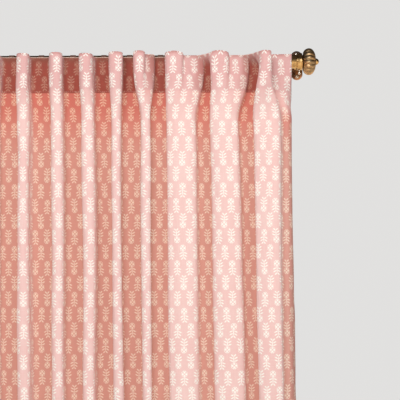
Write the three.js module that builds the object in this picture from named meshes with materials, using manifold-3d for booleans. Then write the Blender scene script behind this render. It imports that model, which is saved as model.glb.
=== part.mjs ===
// A printed window curtain that hangs in uneven folds by back tabs on a brass rod with two wall brackets.
// Millimetres. X runs along the rod to the right, Y points into the wall, Z is up.
// The origin is the centre of the right wall plate's back face, so the wall is the plane Y = 0.
import * as THREE from "three";
import { mergeVertices } from "three/addons/utils/BufferGeometryUtils.js";
import Module from "manifold-3d";

const wasm = await Module();
wasm.setup();

// Rod and brackets
const ROD_DIAMETER = 25.4;
const ROD_LENGTH = 711;
const BRACKET_SPACING = 699;
const PROJECTION = 60; // wall to rod axis
const ROD_BELOW_PLATE = 3; // rod axis below the plate's centre
const PLATE_WIDTH = 22;
const PLATE_HEIGHT = 56;
const PLATE_THICKNESS = 4;
const PLATE_BEVEL = 1.2;
const RING_WIDTH = 9.8;
const RING_WALL = 3.3;
const ARM_DIAMETER = 10;
const SCREW_HEAD_RADIUS = 3.6;
const SCREW_HEAD_HEIGHT = 2.2;
const SCREW_FROM_CENTRE = 21.5;
const THUMB_SCREW_LENGTH = 8;
const THUMB_KNOB_RADIUS = 2.8;
const THUMB_NECK_RADIUS = 1.8;
const GAP = 0.3; // between pieces that touch

// Finials
const COLLAR_RADIUS = 11.5;
const COLLAR_LENGTH = 3;
const MELON_LOBES = 16;
const MELON_GROOVE = 0.07; // groove depth as a share of the radius
const MELON_PLAIN = 13; // the grooves run out inside this radius
const TIP_RADIUS = 6.2; // the tip is half a ball
// The melon's outline, from its inner face to its outer one. along: from that inner face, outwards.
const MELON_OUTLINE = [
  { along: 0, radius: 12 },
  { along: -2.6, radius: 15.5 },
  { along: -1.4, radius: 20 },
  { along: 3, radius: 23.9 },
  { along: 9, radius: 25 },
  { along: 15, radius: 22.4 },
  { along: 19, radius: 16.5 },
  { along: 20.6, radius: 9 },
];

// Curtain panel
const CLOTH_WIDTH = 1270; // laid flat
const TOP_EDGE = 7; // above the rod axis, in the valleys
const HEADER_DEPTH = 67;
const DROP = 2134; // top edge to bottom edge
const HEM_DEPTH = 100;
const SHEET = 1.2; // one thickness of cloth
const TURNED = 2.4; // header and bottom hem, where the cloth is turned double
const TAB_EDGE = 35; // first and last tab from the side edges, along the flat cloth
const TAB_WIDTH = 10;
const TAB_UPPER_END = 8; // the upper sewn end's edge, below the rod axis
const TAB_SEWN = 12; // length of the lower sewn end
const TAB_FOOT = 38; // the lower sewn end's edge, below the rod axis
const TAB_BEND = { from: 168, to: -56 }; // degrees round the rod: 180 is away from the wall, 90 is up
const HEADER_BACK = 15; // back face of the header, in front of the rod axis
const SWING_BACK = 10; // how far the cloth under the header swings back to the wall
const FULL_FOLD = 93 * (Math.PI / 180); // steepest side of a fold
const STEP_FALL = 100 * (Math.PI / 180); // steepest part of the step from a fold's peak to its shelf
const LOW_1 = 110; // first low station of the fold table, below the rod axis
const LOW_2 = 622; // second low station
const HEM_FLARE = 1.04; // widening about the middle from the second low station to the hem

// The tabs hold the valleys to the rod, and each row is one valley and the fold to its right.
// xTop, x1, x2: the valley's middle at the header, at LOW_1 and at LOW_2, from the right bracket.
// floor: flat cloth on each side of that middle. crest: flat cloth on top of the fold to the right.
// lean: how far that fold's crest is pushed to the right.
// The Top values of x and floor hold down to TAB_FOOT. Those of crest and lean change from the top edge.
// peak, step: shares of the crest that stand out, and that fall to a shelf on the right. They fade by LOW_1.
// rise, edge: how much higher the top edge stands on the fold, and in the valley.
const VALLEYS = [
  { xTop: -651, x1: -651, x2: -646, floorTop: 10, floor: 12, crestTop: 2, crest: 3, leanTop: 1, lean: 2 },
  { xTop: -596, x1: -598, x2: -592, floorTop: 11, floor: 12, crestTop: 3, crest: 2, leanTop: -2, lean: 0 },
  { xTop: -537, x1: -539, x2: -534, floorTop: 9, floor: 14, crestTop: 2, crest: 5, leanTop: 1, lean: -3 },
  { xTop: -482, x1: -479, x2: -475, floorTop: 12, floor: 13, crestTop: 4, crest: 2, leanTop: 2, lean: 1 },
  { xTop: -423, x1: -420, x2: -416, floorTop: 11, floor: 13, crestTop: 4, crest: 5, leanTop: -3, lean: -1 },
  { xTop: -365, x1: -364, x2: -358, floorTop: 9, floor: 12, crestTop: 11, crest: 2, leanTop: 1, lean: 1 },
  { xTop: -317, x1: -314, x2: -309, floorTop: 8, floor: 15, crestTop: 38, crest: 3, leanTop: -2, lean: 2 },
  { xTop: -259, x1: -263, x2: -259, floorTop: 9, floor: 14, crestTop: 70, crest: 36, leanTop: -3, lean: -6 },
  { xTop: -172, x1: -178, x2: -171, floorTop: 5, floor: 8, crestTop: 70, crest: 34, leanTop: -4, lean: -5 },
  { xTop: -88, x1: -97, x2: -87, floorTop: 6, floor: 11, crestTop: 9, crest: 38, leanTop: 1, lean: -5 },
  { xTop: -50.5, x1: -30, x2: -32.5, floorTop: 6, floor: 2, crestTop: 0, crest: 0, leanTop: 0, lean: 0 },
];
const FOLD_TOPS = [
  { peak: 0, step: 0, rise: 2, edge: 0 },
  { peak: 0, step: 0, rise: 4, edge: 0 },
  { peak: 0, step: 0, rise: 1, edge: 0 },
  { peak: 0, step: 0, rise: 3, edge: 0 },
  { peak: 0, step: 0, rise: 1, edge: 0 },
  { peak: 0, step: 0, rise: 3, edge: 0 },
  { peak: 0.2, step: 0.55, rise: 5.5, edge: 0 },
  { peak: 0.32, step: 0.21, rise: 6, edge: 0 },
  { peak: 0.34, step: 0.21, rise: 6.5, edge: 0 },
  { peak: 0, step: 0, rise: 4, edge: 0 },
  { peak: 0, step: 0, rise: 0, edge: 4.5 },
];
// The free sides turn back towards the wall from SIDE_START below the rod axis: degrees at LOW_1 and LOW_2.
const SIDE_START = 14;
const LEFT_SIDE = { turn1: 60, turn2: 50 };
const RIGHT_SIDE = { turn1: 108, turn2: 80 };
const TAB_PITCH = (CLOTH_WIDTH - 2 * TAB_EDGE) / (VALLEYS.length - 1);

// Mesh fineness
const FLANK_STEPS = 4;
const SIDE_STEPS = 4;
const WALK_STEPS = 40; // steps of the sums along a fold's side
const ROUND_SEGMENTS = 32;
const ARC_STEP = 16; // degrees between the corners of a tab's bend round the rod
const BISECTIONS = 40;
const SEAM_STEP = 3; // height over which the cloth's back steps in at a turned edge
// Heights of the cloth's sections, below the rod axis.
const SEAM = HEADER_DEPTH - TOP_EDGE;
const BOTTOM = DROP - TOP_EDGE;
const HEM = BOTTOM - HEM_DEPTH;
const UPPER_HEIGHTS = [-TOP_EDGE, 14, TAB_FOOT, SEAM, SEAM + SEAM_STEP, 82, LOW_1, 170, 330, LOW_2];
const HEIGHTS = [...UPPER_HEIGHTS, 1250, HEM - SEAM_STEP, HEM, BOTTOM];

const ROD_Y = -PROJECTION;
const ROD_Z = -ROD_BELOW_PLATE;
const ROD_RADIUS = ROD_DIAMETER / 2;
const MELON_START = GAP + COLLAR_LENGTH + GAP; // from the rod's end

const BRASS = { color: 0x9a7440, roughness: 0.32, metalness: 1 };
const DARK_BRASS = { color: 0x6b4c28, roughness: 0.42, metalness: 1 };
const SCREW_STEEL = { color: 0xb9b3a4, roughness: 0.3, metalness: 1 };
const COTTON = { color: 0xdf9c92, roughness: 0.92, metalness: 0 };
const TAPE = { color: 0x4a2a20, roughness: 0.9, metalness: 0 };

const part = new THREE.Group();

function mesh(name, geometry, finish) {
  const made = new THREE.Mesh(geometry, new THREE.MeshStandardMaterial(finish));
  made.name = name;
  return made;
}

// Solids for joining and cutting
function solid(geometry) {
  const bare = geometry.clone();
  bare.deleteAttribute("normal");
  bare.deleteAttribute("uv");
  const merged = mergeVertices(bare, 1e-4);
  return new wasm.Manifold(
    new wasm.Mesh({
      numProp: 3,
      vertProperties: merged.attributes.position.array,
      triVerts: new Uint32Array(merged.index.array),
    }),
  );
}

function geometryOf(manifold) {
  const made = manifold.getMesh();
  const geometry = new THREE.BufferGeometry();
  geometry.setAttribute("position", new THREE.BufferAttribute(new Float32Array(made.vertProperties), 3));
  geometry.setIndex(new THREE.BufferAttribute(new Uint32Array(made.triVerts), 1));
  geometry.computeVertexNormals();
  return geometry;
}

// A value of the fold table at a height: the header's down to a start, then on to the low stations'.
function down(below, top, first, second, start = TAB_FOOT) {
  if (below <= start) return top;
  const ease = (t) => t * t * (3 - 2 * t);
  if (below <= LOW_1) return top + (first - top) * ease((below - start) / (LOW_1 - start));
  const t = Math.min(1, (below - LOW_1) / (LOW_2 - LOW_1));
  return first + (second - first) * t;
}

function flare(x, below) {
  const t = Math.max(0, (below - LOW_2) / (BOTTOM - LOW_2));
  const middle = (VALLEYS[0].x2 + VALLEYS.at(-1).x2) / 2;
  return middle + (x - middle) * (1 + (HEM_FLARE - 1) * t);
}

// How much of its steepest angle a fold's side has at a distance along it.
function ramp(along, length, bend) {
  const near = Math.min(along, length - along);
  return near >= bend ? 1 : Math.sin((Math.PI / 2) * (near / bend));
}

function walk(length, bend, angle) {
  const steps = [{ along: 0, x: 0, out: 0 }];
  const step = length / WALK_STEPS;
  for (let i = 0; i < WALK_STEPS; i++) {
    const last = steps[i];
    const turn = angle * ramp((i + 0.5) * step, length, bend);
    steps.push({
      along: last.along + step,
      x: last.x + step * Math.cos(turn),
      out: last.out + step * Math.sin(turn),
    });
  }
  return steps;
}

// The side of a fold that takes up a length of cloth over a shorter advance along the rod.
function foldSide(length, advance) {
  const end = (bend, angle) => walk(length, bend, angle).at(-1).x;
  const soft = length / 2;
  let low = 0;
  let high = 1;
  const full = end(soft, FULL_FOLD) > advance;
  for (let i = 0; i < BISECTIONS; i++) {
    const middle = (low + high) / 2;
    const reach = full ? end(soft * (1 - middle), FULL_FOLD) : end(soft, FULL_FOLD * middle);
    if (reach > advance) low = middle;
    else high = middle;
  }
  return full ? walk(length, soft * (1 - low), FULL_FOLD) : walk(length, soft, FULL_FOLD * low);
}

// Where the middle of the cloth runs at a height: x along the rod, out in front of the valleys. rise is how
// much higher the top edge stands there.
function section(below) {
  const soft = (top, low) => down(below, top, low, low, -TOP_EDGE);
  const rows = VALLEYS.map((v, i) => ({
    ...FOLD_TOPS[i],
    x: flare(down(below, v.xTop, v.x1, v.x2), below),
    floor: down(below, v.floorTop, v.floor, v.floor),
    crest: soft(v.crestTop, v.crest),
    lean: soft(v.leanTop, v.lean),
  }));
  const points = [];
  const side = (row, way, turn) => {
    const length = TAB_EDGE - row.floor;
    const run = walk(2 * length, length, (turn * Math.PI) / 180).slice(0, WALK_STEPS / 2 + 1);
    for (let i = 1; i <= SIDE_STEPS; i++) {
      const p = run[(i * WALK_STEPS) / 2 / SIDE_STEPS];
      points.push({ x: row.x + way * (row.floor + p.x), out: -p.out, rise: row.edge });
    }
  };
  side(rows[0], -1, down(below, 0, LEFT_SIDE.turn1, LEFT_SIDE.turn2, SIDE_START));
  points.reverse();
  rows.forEach((row, i) => {
    const left = { x: row.x - row.floor, out: 0, rise: row.edge };
    points.push(left, { ...left, x: row.x + row.floor });
    const next = rows[i + 1];
    if (next) points.push(...fold(row, next, soft(STEP_FALL, 0)));
  });
  side(rows.at(-1), 1, down(below, 0, RIGHT_SIDE.turn1, RIGHT_SIDE.turn2, SIDE_START));
  return points;
}

// The fold between two valleys: up its left side, over its peak and its shelf, and down its right side.
function fold(row, next, fall) {
  const step = walk(row.step * row.crest, (row.step * row.crest) / 2, fall);
  const drop = step.at(-1).out;
  const top = row.crest - step.at(-1).along + step.at(-1).x;
  const cloth = TAB_PITCH - row.floor - next.floor - row.crest;
  const run = foldSide(cloth / 2, (next.x - row.x - row.floor - next.floor - top) / 2);
  const high = run.at(-1).out + drop / 2;
  const higher = high / run.at(-1).out; // how much longer the left side is than half the cloth
  const lower = 2 - higher;
  const points = [];
  const add = (x, out) => {
    const share = out / high;
    points.push({ x: x + row.lean * share, out, rise: row.edge + row.rise * share ** 2 });
  };
  const at = (t) => run[Math.round((WALK_STEPS * (1 - Math.cos(Math.PI * t))) / 2)];
  for (let k = 1; k <= FLANK_STEPS; k++) {
    const p = at(k / FLANK_STEPS);
    add(row.x + row.floor + p.x * higher, p.out * higher);
  }
  if (row.step) {
    const start = row.x + row.floor + run.at(-1).x * higher + row.peak * row.crest;
    for (const p of [step[0], step[WALK_STEPS / 2], step.at(-1)]) add(start + p.x, high - p.out);
  }
  for (let k = FLANK_STEPS; k >= 1; k--) {
    const p = at(k / FLANK_STEPS);
    add(next.x - next.floor - p.x * lower, p.out * lower);
  }
  return points;
}

// The curtain panel: one closed sheet between a front and a back face, thicker where it is turned double.
function curtain() {
  const rows = HEIGHTS.map((below) => {
    const turned = below <= SEAM || below >= HEM;
    const thick = turned ? TURNED : SHEET;
    const back = HEADER_BACK - down(below, 0, SWING_BACK, SWING_BACK);
    const line = section(below);
    return line.map((p, i) => {
      const before = line[Math.max(0, i - 1)];
      const after = line[Math.min(line.length - 1, i + 1)];
      const normal = new THREE.Vector2(-(after.out - before.out), after.x - before.x).normalize();
      const rise = below === -TOP_EDGE ? p.rise : 0;
      const y = ROD_Y - back - p.out;
      const z = ROD_Z - below + rise;
      const place = (off) => [p.x + normal.x * off, y - normal.y * off, z];
      return { front: place(TURNED), back: place(TURNED - thick) };
    });
  });
  const across = rows[0].length;
  const positions = [];
  for (const row of rows) for (const p of row) positions.push(...p.front, ...p.back);
  const index = [];
  const at = (r, c, face) => 2 * (r * across + c) + face;
  const quad = (a, b, c, d) => index.push(a, b, c, a, c, d);
  const last = rows.length - 1;
  for (let r = 0; r < last; r++) {
    for (let c = 0; c < across - 1; c++) {
      quad(at(r, c, 0), at(r + 1, c, 0), at(r + 1, c + 1, 0), at(r, c + 1, 0));
      quad(at(r, c, 1), at(r, c + 1, 1), at(r + 1, c + 1, 1), at(r + 1, c, 1));
    }
    quad(at(r, 0, 0), at(r, 0, 1), at(r + 1, 0, 1), at(r + 1, 0, 0));
    quad(at(r, across - 1, 0), at(r + 1, across - 1, 0), at(r + 1, across - 1, 1), at(r, across - 1, 1));
  }
  for (let c = 0; c < across - 1; c++) {
    quad(at(0, c, 0), at(0, c + 1, 0), at(0, c + 1, 1), at(0, c, 1));
    quad(at(last, c, 0), at(last, c, 1), at(last, c + 1, 1), at(last, c + 1, 0));
  }
  const geometry = new THREE.BufferGeometry();
  geometry.setAttribute("position", new THREE.Float32BufferAttribute(positions, 3));
  geometry.setIndex(index);
  geometry.computeVertexNormals();
  return mesh("curtain_panel", geometry, COTTON);
}

// A back tab: a strip of tape sewn to the header's back, laid over the rod and sewn down again below it.
function tab(name, x) {
  const inner = (ROD_RADIUS + GAP) / Math.cos(THREE.MathUtils.degToRad(ARC_STEP / 2));
  const sewn = -(HEADER_BACK - GAP); // where the ends lie against the header's back
  const outline = (radius, inset) => {
    const points = [new THREE.Vector2(sewn + inset, -TAB_UPPER_END), new THREE.Vector2(sewn + inset, -1)];
    for (let degrees = TAB_BEND.from; degrees >= TAB_BEND.to; degrees -= ARC_STEP) {
      const a = THREE.MathUtils.degToRad(degrees);
      points.push(new THREE.Vector2(radius * Math.cos(a), radius * Math.sin(a)));
    }
    const low = sewn + SHEET - inset;
    points.push(new THREE.Vector2(low, TAB_SEWN - TAB_FOOT), new THREE.Vector2(low, -TAB_FOOT));
    return points;
  };
  const shape = new THREE.Shape([...outline(inner + SHEET, 0), ...outline(inner, SHEET).reverse()]);
  const geometry = new THREE.ExtrudeGeometry(shape, { depth: TAB_WIDTH, bevelEnabled: false });
  geometry.rotateX(Math.PI / 2);
  geometry.rotateZ(Math.PI / 2);
  const made = mesh(name, geometry, TAPE);
  made.position.set(x - TAB_WIDTH / 2, ROD_Y, ROD_Z);
  return made;
}

function lathe(points, segments = ROUND_SEGMENTS) {
  return new THREE.LatheGeometry(
    points.map(([along, radius]) => new THREE.Vector2(radius, along)),
    segments,
  );
}

function rod() {
  const geometry = new THREE.CylinderGeometry(ROD_RADIUS, ROD_RADIUS, ROD_LENGTH, ROUND_SEGMENTS);
  geometry.rotateZ(Math.PI / 2);
  const made = mesh("rod", geometry, BRASS);
  made.position.set(-BRACKET_SPACING / 2, ROD_Y, ROD_Z);
  return made;
}

// A finial in its own frame, along +X from the rod's end.
function melonGeometry() {
  const around = MELON_LOBES * 3;
  const positions = [MELON_START, 0, 0];
  for (const { along, radius } of MELON_OUTLINE) {
    for (let i = 0; i < around; i++) {
      const a = (2 * Math.PI * i) / around;
      const lobe = Math.abs(Math.sin((MELON_LOBES / 2) * a));
      const r = radius * (1 - (radius > MELON_PLAIN ? MELON_GROOVE * (1 - lobe) : 0));
      positions.push(MELON_START + along, r * Math.cos(a), r * Math.sin(a));
    }
  }
  const end = positions.length / 3;
  positions.push(MELON_START + MELON_OUTLINE.at(-1).along, 0, 0);
  const index = [];
  for (let i = 0; i < around; i++) {
    const j = (i + 1) % around;
    index.push(0, 1 + j, 1 + i);
    for (let row = 0; row < MELON_OUTLINE.length - 1; row++) {
      const a = 1 + row * around;
      index.push(a + i, a + j, a + around + j, a + i, a + around + j, a + around + i);
    }
    const last = 1 + (MELON_OUTLINE.length - 1) * around;
    index.push(end, last + i, last + j);
  }
  const geometry = new THREE.BufferGeometry();
  geometry.setAttribute("position", new THREE.Float32BufferAttribute(positions, 3));
  geometry.setIndex(index);
  geometry.computeVertexNormals();
  return geometry;
}

function finial(side) {
  const group = new THREE.Group();
  const collar = lathe([
    [GAP, 0],
    [GAP, COLLAR_RADIUS],
    [GAP + COLLAR_LENGTH, COLLAR_RADIUS],
    [GAP + COLLAR_LENGTH, 0],
  ]);
  collar.rotateZ(-Math.PI / 2);
  group.add(mesh("finial_collar_" + side, collar, DARK_BRASS));
  group.add(mesh("finial_melon_" + side, melonGeometry(), BRASS));
  const tip = lathe([
    [0, 0],
    ...[0, 25, 50, 75].map((d) => {
      const a = THREE.MathUtils.degToRad(d);
      return [TIP_RADIUS * Math.sin(a), TIP_RADIUS * Math.cos(a)];
    }),
    [TIP_RADIUS, 0],
  ], 24);
  tip.rotateZ(-Math.PI / 2);
  const ball = mesh("finial_tip_" + side, tip, BRASS);
  ball.position.x = MELON_START + MELON_OUTLINE.at(-1).along + GAP;
  group.add(ball);
  return group;
}

// A bracket in its own frame: the plate's back face at the wall, the rod axis at ROD_Y and ROD_Z.
function bracket(side) {
  const group = new THREE.Group();
  const half = PLATE_WIDTH / 2 - PLATE_BEVEL;
  const reach = PLATE_HEIGHT / 2 - PLATE_WIDTH / 2;
  const outline = new THREE.Shape();
  outline.absarc(0, reach, half, 0, Math.PI);
  outline.absarc(0, -reach, half, Math.PI, 2 * Math.PI);
  outline.closePath();
  const plate = new THREE.ExtrudeGeometry(outline, {
    depth: PLATE_THICKNESS - PLATE_BEVEL,
    bevelThickness: PLATE_BEVEL,
    bevelSize: PLATE_BEVEL,
    bevelSegments: 2,
    curveSegments: 10,
  });
  // The bevel at the back is cut away, so that the plate lies flat on the wall.
  const keep = new THREE.BoxGeometry(2 * PLATE_WIDTH, 2 * PLATE_HEIGHT, PLATE_THICKNESS);
  keep.translate(0, 0, PLATE_THICKNESS / 2);
  const flat = geometryOf(solid(plate).intersect(solid(keep)));
  flat.rotateX(Math.PI / 2);
  group.add(mesh("wall_plate_" + side, flat, DARK_BRASS));

  const ring = lathe([
    [-RING_WIDTH / 2, ROD_RADIUS + GAP],
    [-RING_WIDTH / 2, ROD_RADIUS + RING_WALL],
    [-RING_WIDTH / 4, ROD_RADIUS + GAP + RING_WALL],
    [RING_WIDTH / 4, ROD_RADIUS + GAP + RING_WALL],
    [RING_WIDTH / 2, ROD_RADIUS + RING_WALL],
    [RING_WIDTH / 2, ROD_RADIUS + GAP],
    [-RING_WIDTH / 2, ROD_RADIUS + GAP],
  ]);
  ring.rotateZ(-Math.PI / 2);
  ring.translate(0, ROD_Y, ROD_Z);
  const armStart = -(PLATE_THICKNESS + GAP);
  const armEnd = ROD_Y + ROD_RADIUS + GAP + RING_WALL / 2;
  const arm = new THREE.CylinderGeometry(ARM_DIAMETER / 2, ARM_DIAMETER / 2, armStart - armEnd, 20);
  arm.translate(0, (armStart + armEnd) / 2, ROD_Z);
  group.add(mesh("bracket_arm_" + side, geometryOf(solid(ring).add(solid(arm))), BRASS));

  const head = lathe([
    [0, 0],
    [0, SCREW_HEAD_RADIUS],
    [SCREW_HEAD_HEIGHT * 0.6, SCREW_HEAD_RADIUS * 0.85],
    [SCREW_HEAD_HEIGHT, SCREW_HEAD_RADIUS * 0.4],
    [SCREW_HEAD_HEIGHT, 0],
  ], 16);
  head.rotateX(Math.PI);
  for (const [where, way] of [["upper", 1], ["lower", -1]]) {
    const screw = mesh(`wall_screw_${where}_${side}`, head, SCREW_STEEL);
    screw.position.set(0, -(PLATE_THICKNESS + GAP), way * SCREW_FROM_CENTRE);
    group.add(screw);
  }

  const knobAt = THUMB_SCREW_LENGTH - THUMB_KNOB_RADIUS;
  const thumb = lathe([
    [0, 0],
    [0, THUMB_NECK_RADIUS],
    [knobAt - 2.2, THUMB_NECK_RADIUS],
    [knobAt - 1.7, THUMB_KNOB_RADIUS * 0.8],
    [knobAt, THUMB_KNOB_RADIUS],
    [knobAt + 1.7, THUMB_KNOB_RADIUS * 0.8],
    [THUMB_SCREW_LENGTH, 0],
  ], 20);
  thumb.rotateX(-Math.PI / 2);
  const screw = mesh("thumb_screw_" + side, thumb, SCREW_STEEL);
  screw.position.set(0, ROD_Y, ROD_Z - ROD_RADIUS - GAP - RING_WALL - GAP);
  group.add(screw);
  return group;
}

part.add(curtain());
VALLEYS.forEach((valley, i) => part.add(tab("tab_" + String(i + 1).padStart(2, "0"), valley.xTop)));
part.add(rod());

const rodEnd = (ROD_LENGTH - BRACKET_SPACING) / 2;
for (const [side, x, turn, way] of [["right", 0, 0, 1], ["left", -BRACKET_SPACING, Math.PI, -1]]) {
  const holder = bracket(side);
  holder.position.x = x;
  part.add(holder);
  const end = finial(side);
  end.position.set(x + way * rodEnd, ROD_Y, ROD_Z);
  end.rotation.z = turn;
  part.add(end);
}

export default part;
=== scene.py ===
"""The looks of a printed cotton curtain that hangs by back tabs on an antique brass rod.

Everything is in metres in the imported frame: X along the rod to the right, Y into the wall, Z up, with the
origin at the right wall plate. The cloth's own sizes and its fold table are in millimetres.
"""
import functools
import math

import bpy
import numpy as np
from mathutils import Matrix, Vector


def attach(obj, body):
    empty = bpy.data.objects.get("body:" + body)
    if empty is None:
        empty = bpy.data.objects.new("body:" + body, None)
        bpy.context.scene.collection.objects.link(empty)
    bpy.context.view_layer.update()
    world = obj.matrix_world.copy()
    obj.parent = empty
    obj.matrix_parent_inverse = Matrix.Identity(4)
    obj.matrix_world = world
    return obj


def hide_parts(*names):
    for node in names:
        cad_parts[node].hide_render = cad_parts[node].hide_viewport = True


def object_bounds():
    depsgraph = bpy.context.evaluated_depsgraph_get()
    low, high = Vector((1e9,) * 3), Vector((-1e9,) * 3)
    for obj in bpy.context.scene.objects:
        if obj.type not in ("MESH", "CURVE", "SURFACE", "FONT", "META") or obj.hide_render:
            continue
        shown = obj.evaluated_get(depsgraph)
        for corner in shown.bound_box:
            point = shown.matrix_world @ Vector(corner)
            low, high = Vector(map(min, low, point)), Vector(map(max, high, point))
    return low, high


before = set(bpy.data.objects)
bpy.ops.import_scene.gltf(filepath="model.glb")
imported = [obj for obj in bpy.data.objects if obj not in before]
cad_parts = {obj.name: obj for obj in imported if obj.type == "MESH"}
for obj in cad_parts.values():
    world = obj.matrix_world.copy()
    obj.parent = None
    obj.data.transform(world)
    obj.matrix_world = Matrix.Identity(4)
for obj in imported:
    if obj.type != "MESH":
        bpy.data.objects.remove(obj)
cad_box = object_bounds()

MM = 0.001
ROOT = "root"

# Rod and brackets, in mm
ROD_RADIUS = 12.7
ROD_LENGTH = 711
BRACKET_SPACING = 699
ROD_Y = -60
ROD_Z = -3
PLATE_WIDTH = 22
PLATE_HEIGHT = 56
PLATE_THICKNESS = 4
RING_WIDTH = 9.8
RING_WALL = 3.3
ARM_RADIUS = 5
FOOT_RADIUS = 7.2
SCREW_HEAD_RADIUS = 3.6
SCREW_HEAD_HEIGHT = 2.2
SCREW_FROM_CENTRE = 21.5
THUMB_LENGTH = 8
THUMB_KNOB = 2.8
THUMB_NECK = 1.8
GAP = 0.3
COLLAR_RADIUS = 11.5
COLLAR_LENGTH = 3
MELON_START = GAP + COLLAR_LENGTH + GAP
MELON_LENGTH = 20.6
MELON_LOBES = 16
TIP_RADIUS = 6.2

# Cloth, in mm: s runs along the flat cloth from its left edge, t down from its top edge
CLOTH_WIDTH = 1270
DROP = 2134
TOP_EDGE = 7
RISE_ENDS = 21
HEADER_DEPTH = 67
HEM_DEPTH = 100
SIDE_HEM = 25
TAB_EDGE = 35
TAB_WIDTH = 10
TAB_UPPER_END = 8
TAB_SEWN = 12
TAB_FOOT = 38
TAB_BEND = (168, -56)
HEADER_BACK = 15
SWING_BACK = 10
FULL_FOLD = math.radians(93)
STEP_FALL = math.radians(100)
LOW_1 = 110
LOW_2 = 622
SIDE_START = 14
HEM_FLARE = 1.04
WALK_STEPS = 40
FRONT_OFF = 2.0
HEM_OFF = 1.2
TURN_OFF = 0.5

# One row for each valley and the fold to its right: the valley's middle at the header and at the two low
# stations, its half width at the header and below, the width of the fold's crest and how far the crest is
# pushed to the right, likewise, the shares of the crest that stand out and that fall to a shelf, and how
# much higher the top edge stands on the fold and in the valley.
COLUMNS = ("x_top", "x1", "x2", "floor_top", "floor", "crest_top", "crest", "lean_top", "lean")
COLUMNS += ("peak", "step", "rise", "edge")
VALLEYS = [
    dict(zip(COLUMNS, row))
    for row in (
        (-651, -651, -646, 10, 12, 2, 3, 1, 2, 0, 0, 2, 0),
        (-596, -598, -592, 11, 12, 3, 2, -2, 0, 0, 0, 4, 0),
        (-537, -539, -534, 9, 14, 2, 5, 1, -3, 0, 0, 1, 0),
        (-482, -479, -475, 12, 13, 4, 2, 2, 1, 0, 0, 3, 0),
        (-423, -420, -416, 11, 13, 4, 5, -3, -1, 0, 0, 1, 0),
        (-365, -364, -358, 9, 12, 11, 2, 1, 1, 0, 0, 3, 0),
        (-317, -314, -309, 8, 15, 38, 3, -2, 2, 0.2, 0.55, 5.5, 0),
        (-259, -263, -259, 9, 14, 70, 36, -3, -6, 0.32, 0.21, 6, 0),
        (-172, -178, -171, 5, 8, 70, 34, -4, -5, 0.34, 0.21, 6.5, 0),
        (-85.5, -97, -87, 7.5, 11, 9, 38, 2, -5, 0, 0, 4, 0),
        (-50.5, -30, -32.5, 6, 2, 0, 0, 0, 0, 0, 0, 0, 4.5),
    )
]
# How far the free sides turn back, in degrees, at the two low stations
LEFT_TURN = (60, 50)
RIGHT_TURN = (108, 80)
TAB_PITCH = (CLOTH_WIDTH - 2 * TAB_EDGE) / (len(VALLEYS) - 1)

# Camera at the photograph's angle: its place and tilt were worked out from the rod and the ridges.
MM_PER_PX = 1.85
CAMERA_DISTANCE = 2200
CAMERA_PITCH = math.radians(3.5)
CAMERA_ROLL = math.radians(0.2)
BRACKET_PX = (300.8, 60.3)
FRAME_PX = 400
SENSOR_MM = 36


def object_from(name, places, faces, maps=None):
    """A new mesh object from points in mm, its faces and its UV maps by name, one place a point."""
    data = bpy.data.meshes.new(name)
    data.from_pydata((np.asarray(places, float) * MM).tolist(), [], faces)
    corners = np.empty(len(data.loops), np.int32)
    data.loops.foreach_get("vertex_index", corners)
    for map_name, places_on_map in (maps or {}).items():
        layer = data.uv_layers.new(name=map_name)
        layer.uv.foreach_set("vector", np.asarray(places_on_map, np.float32)[corners].ravel())
    data.polygons.foreach_set("use_smooth", [True] * len(data.polygons))
    data.update()
    made = bpy.data.objects.new(name, data)
    bpy.context.scene.collection.objects.link(made)
    return made


def finish_piece(piece, material, slot, *nodes):
    """Gives a piece its material and its body, and hides the CAD nodes it stands for. slot is not used."""
    piece.data.materials.append(material)
    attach(piece, ROOT)
    if nodes:
        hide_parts(*nodes)


class Graph:
    """A material's or world's nodes, added by formulas. A value is a number, a tuple or a node's output."""

    def __init__(self, owner):
        owner.use_nodes = True
        self.owner = owner
        self.tree = owner.node_tree
        self.shader = self.tree.nodes.get("Principled BSDF")

    def node(self, kind, inputs=(), **settings):
        made = self.tree.nodes.new(kind)
        for key, value in settings.items():
            setattr(made, key, value)
        for key, value in dict(inputs).items():
            self.feed(made.inputs[key], value)
        return made

    def feed(self, socket, value):
        if isinstance(value, bpy.types.NodeSocket):
            self.tree.links.new(value, socket)
        else:
            socket.default_value = value

    def surface(self, inputs):
        """Gives the shader's own sockets their values."""
        for key, value in inputs.items():
            self.feed(self.shader.inputs[key], value)

    def math(self, operation, *values):
        return self.node("ShaderNodeMath", dict(enumerate(values)), operation=operation).outputs[0]

    def mix(self, factor, a, b):
        """A colour between two others."""
        made = self.node("ShaderNodeMix", data_type="RGBA")
        self.feed(made.inputs[0], factor)
        self.feed(made.inputs[6], a)
        self.feed(made.inputs[7], b)
        return made.outputs[2]

    def steps(self, value, start, end, low=0.0, high=1.0):
        """A soft step between two values."""
        inputs = {0: value, 1: start, 2: end, 3: low, 4: high}
        return self.node("ShaderNodeMapRange", inputs, interpolation_type="SMOOTHSTEP").outputs[0]

    def noise(self, vector, scale, detail=2.0, roughness=0.5):
        inputs = {"Vector": vector, "Scale": scale, "Detail": detail, "Roughness": roughness}
        return self.node("ShaderNodeTexNoise", inputs).outputs[0]

    def scaled(self, vector, x, y):
        inputs = {0: vector, 1: (x, y, 1.0)}
        return self.node("ShaderNodeVectorMath", inputs, operation="MULTIPLY").outputs[0]

    def bump(self, height, strength, distance):
        inputs = {"Height": height, "Strength": strength, "Distance": distance}
        return self.node("ShaderNodeBump", inputs).outputs[0]


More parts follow.
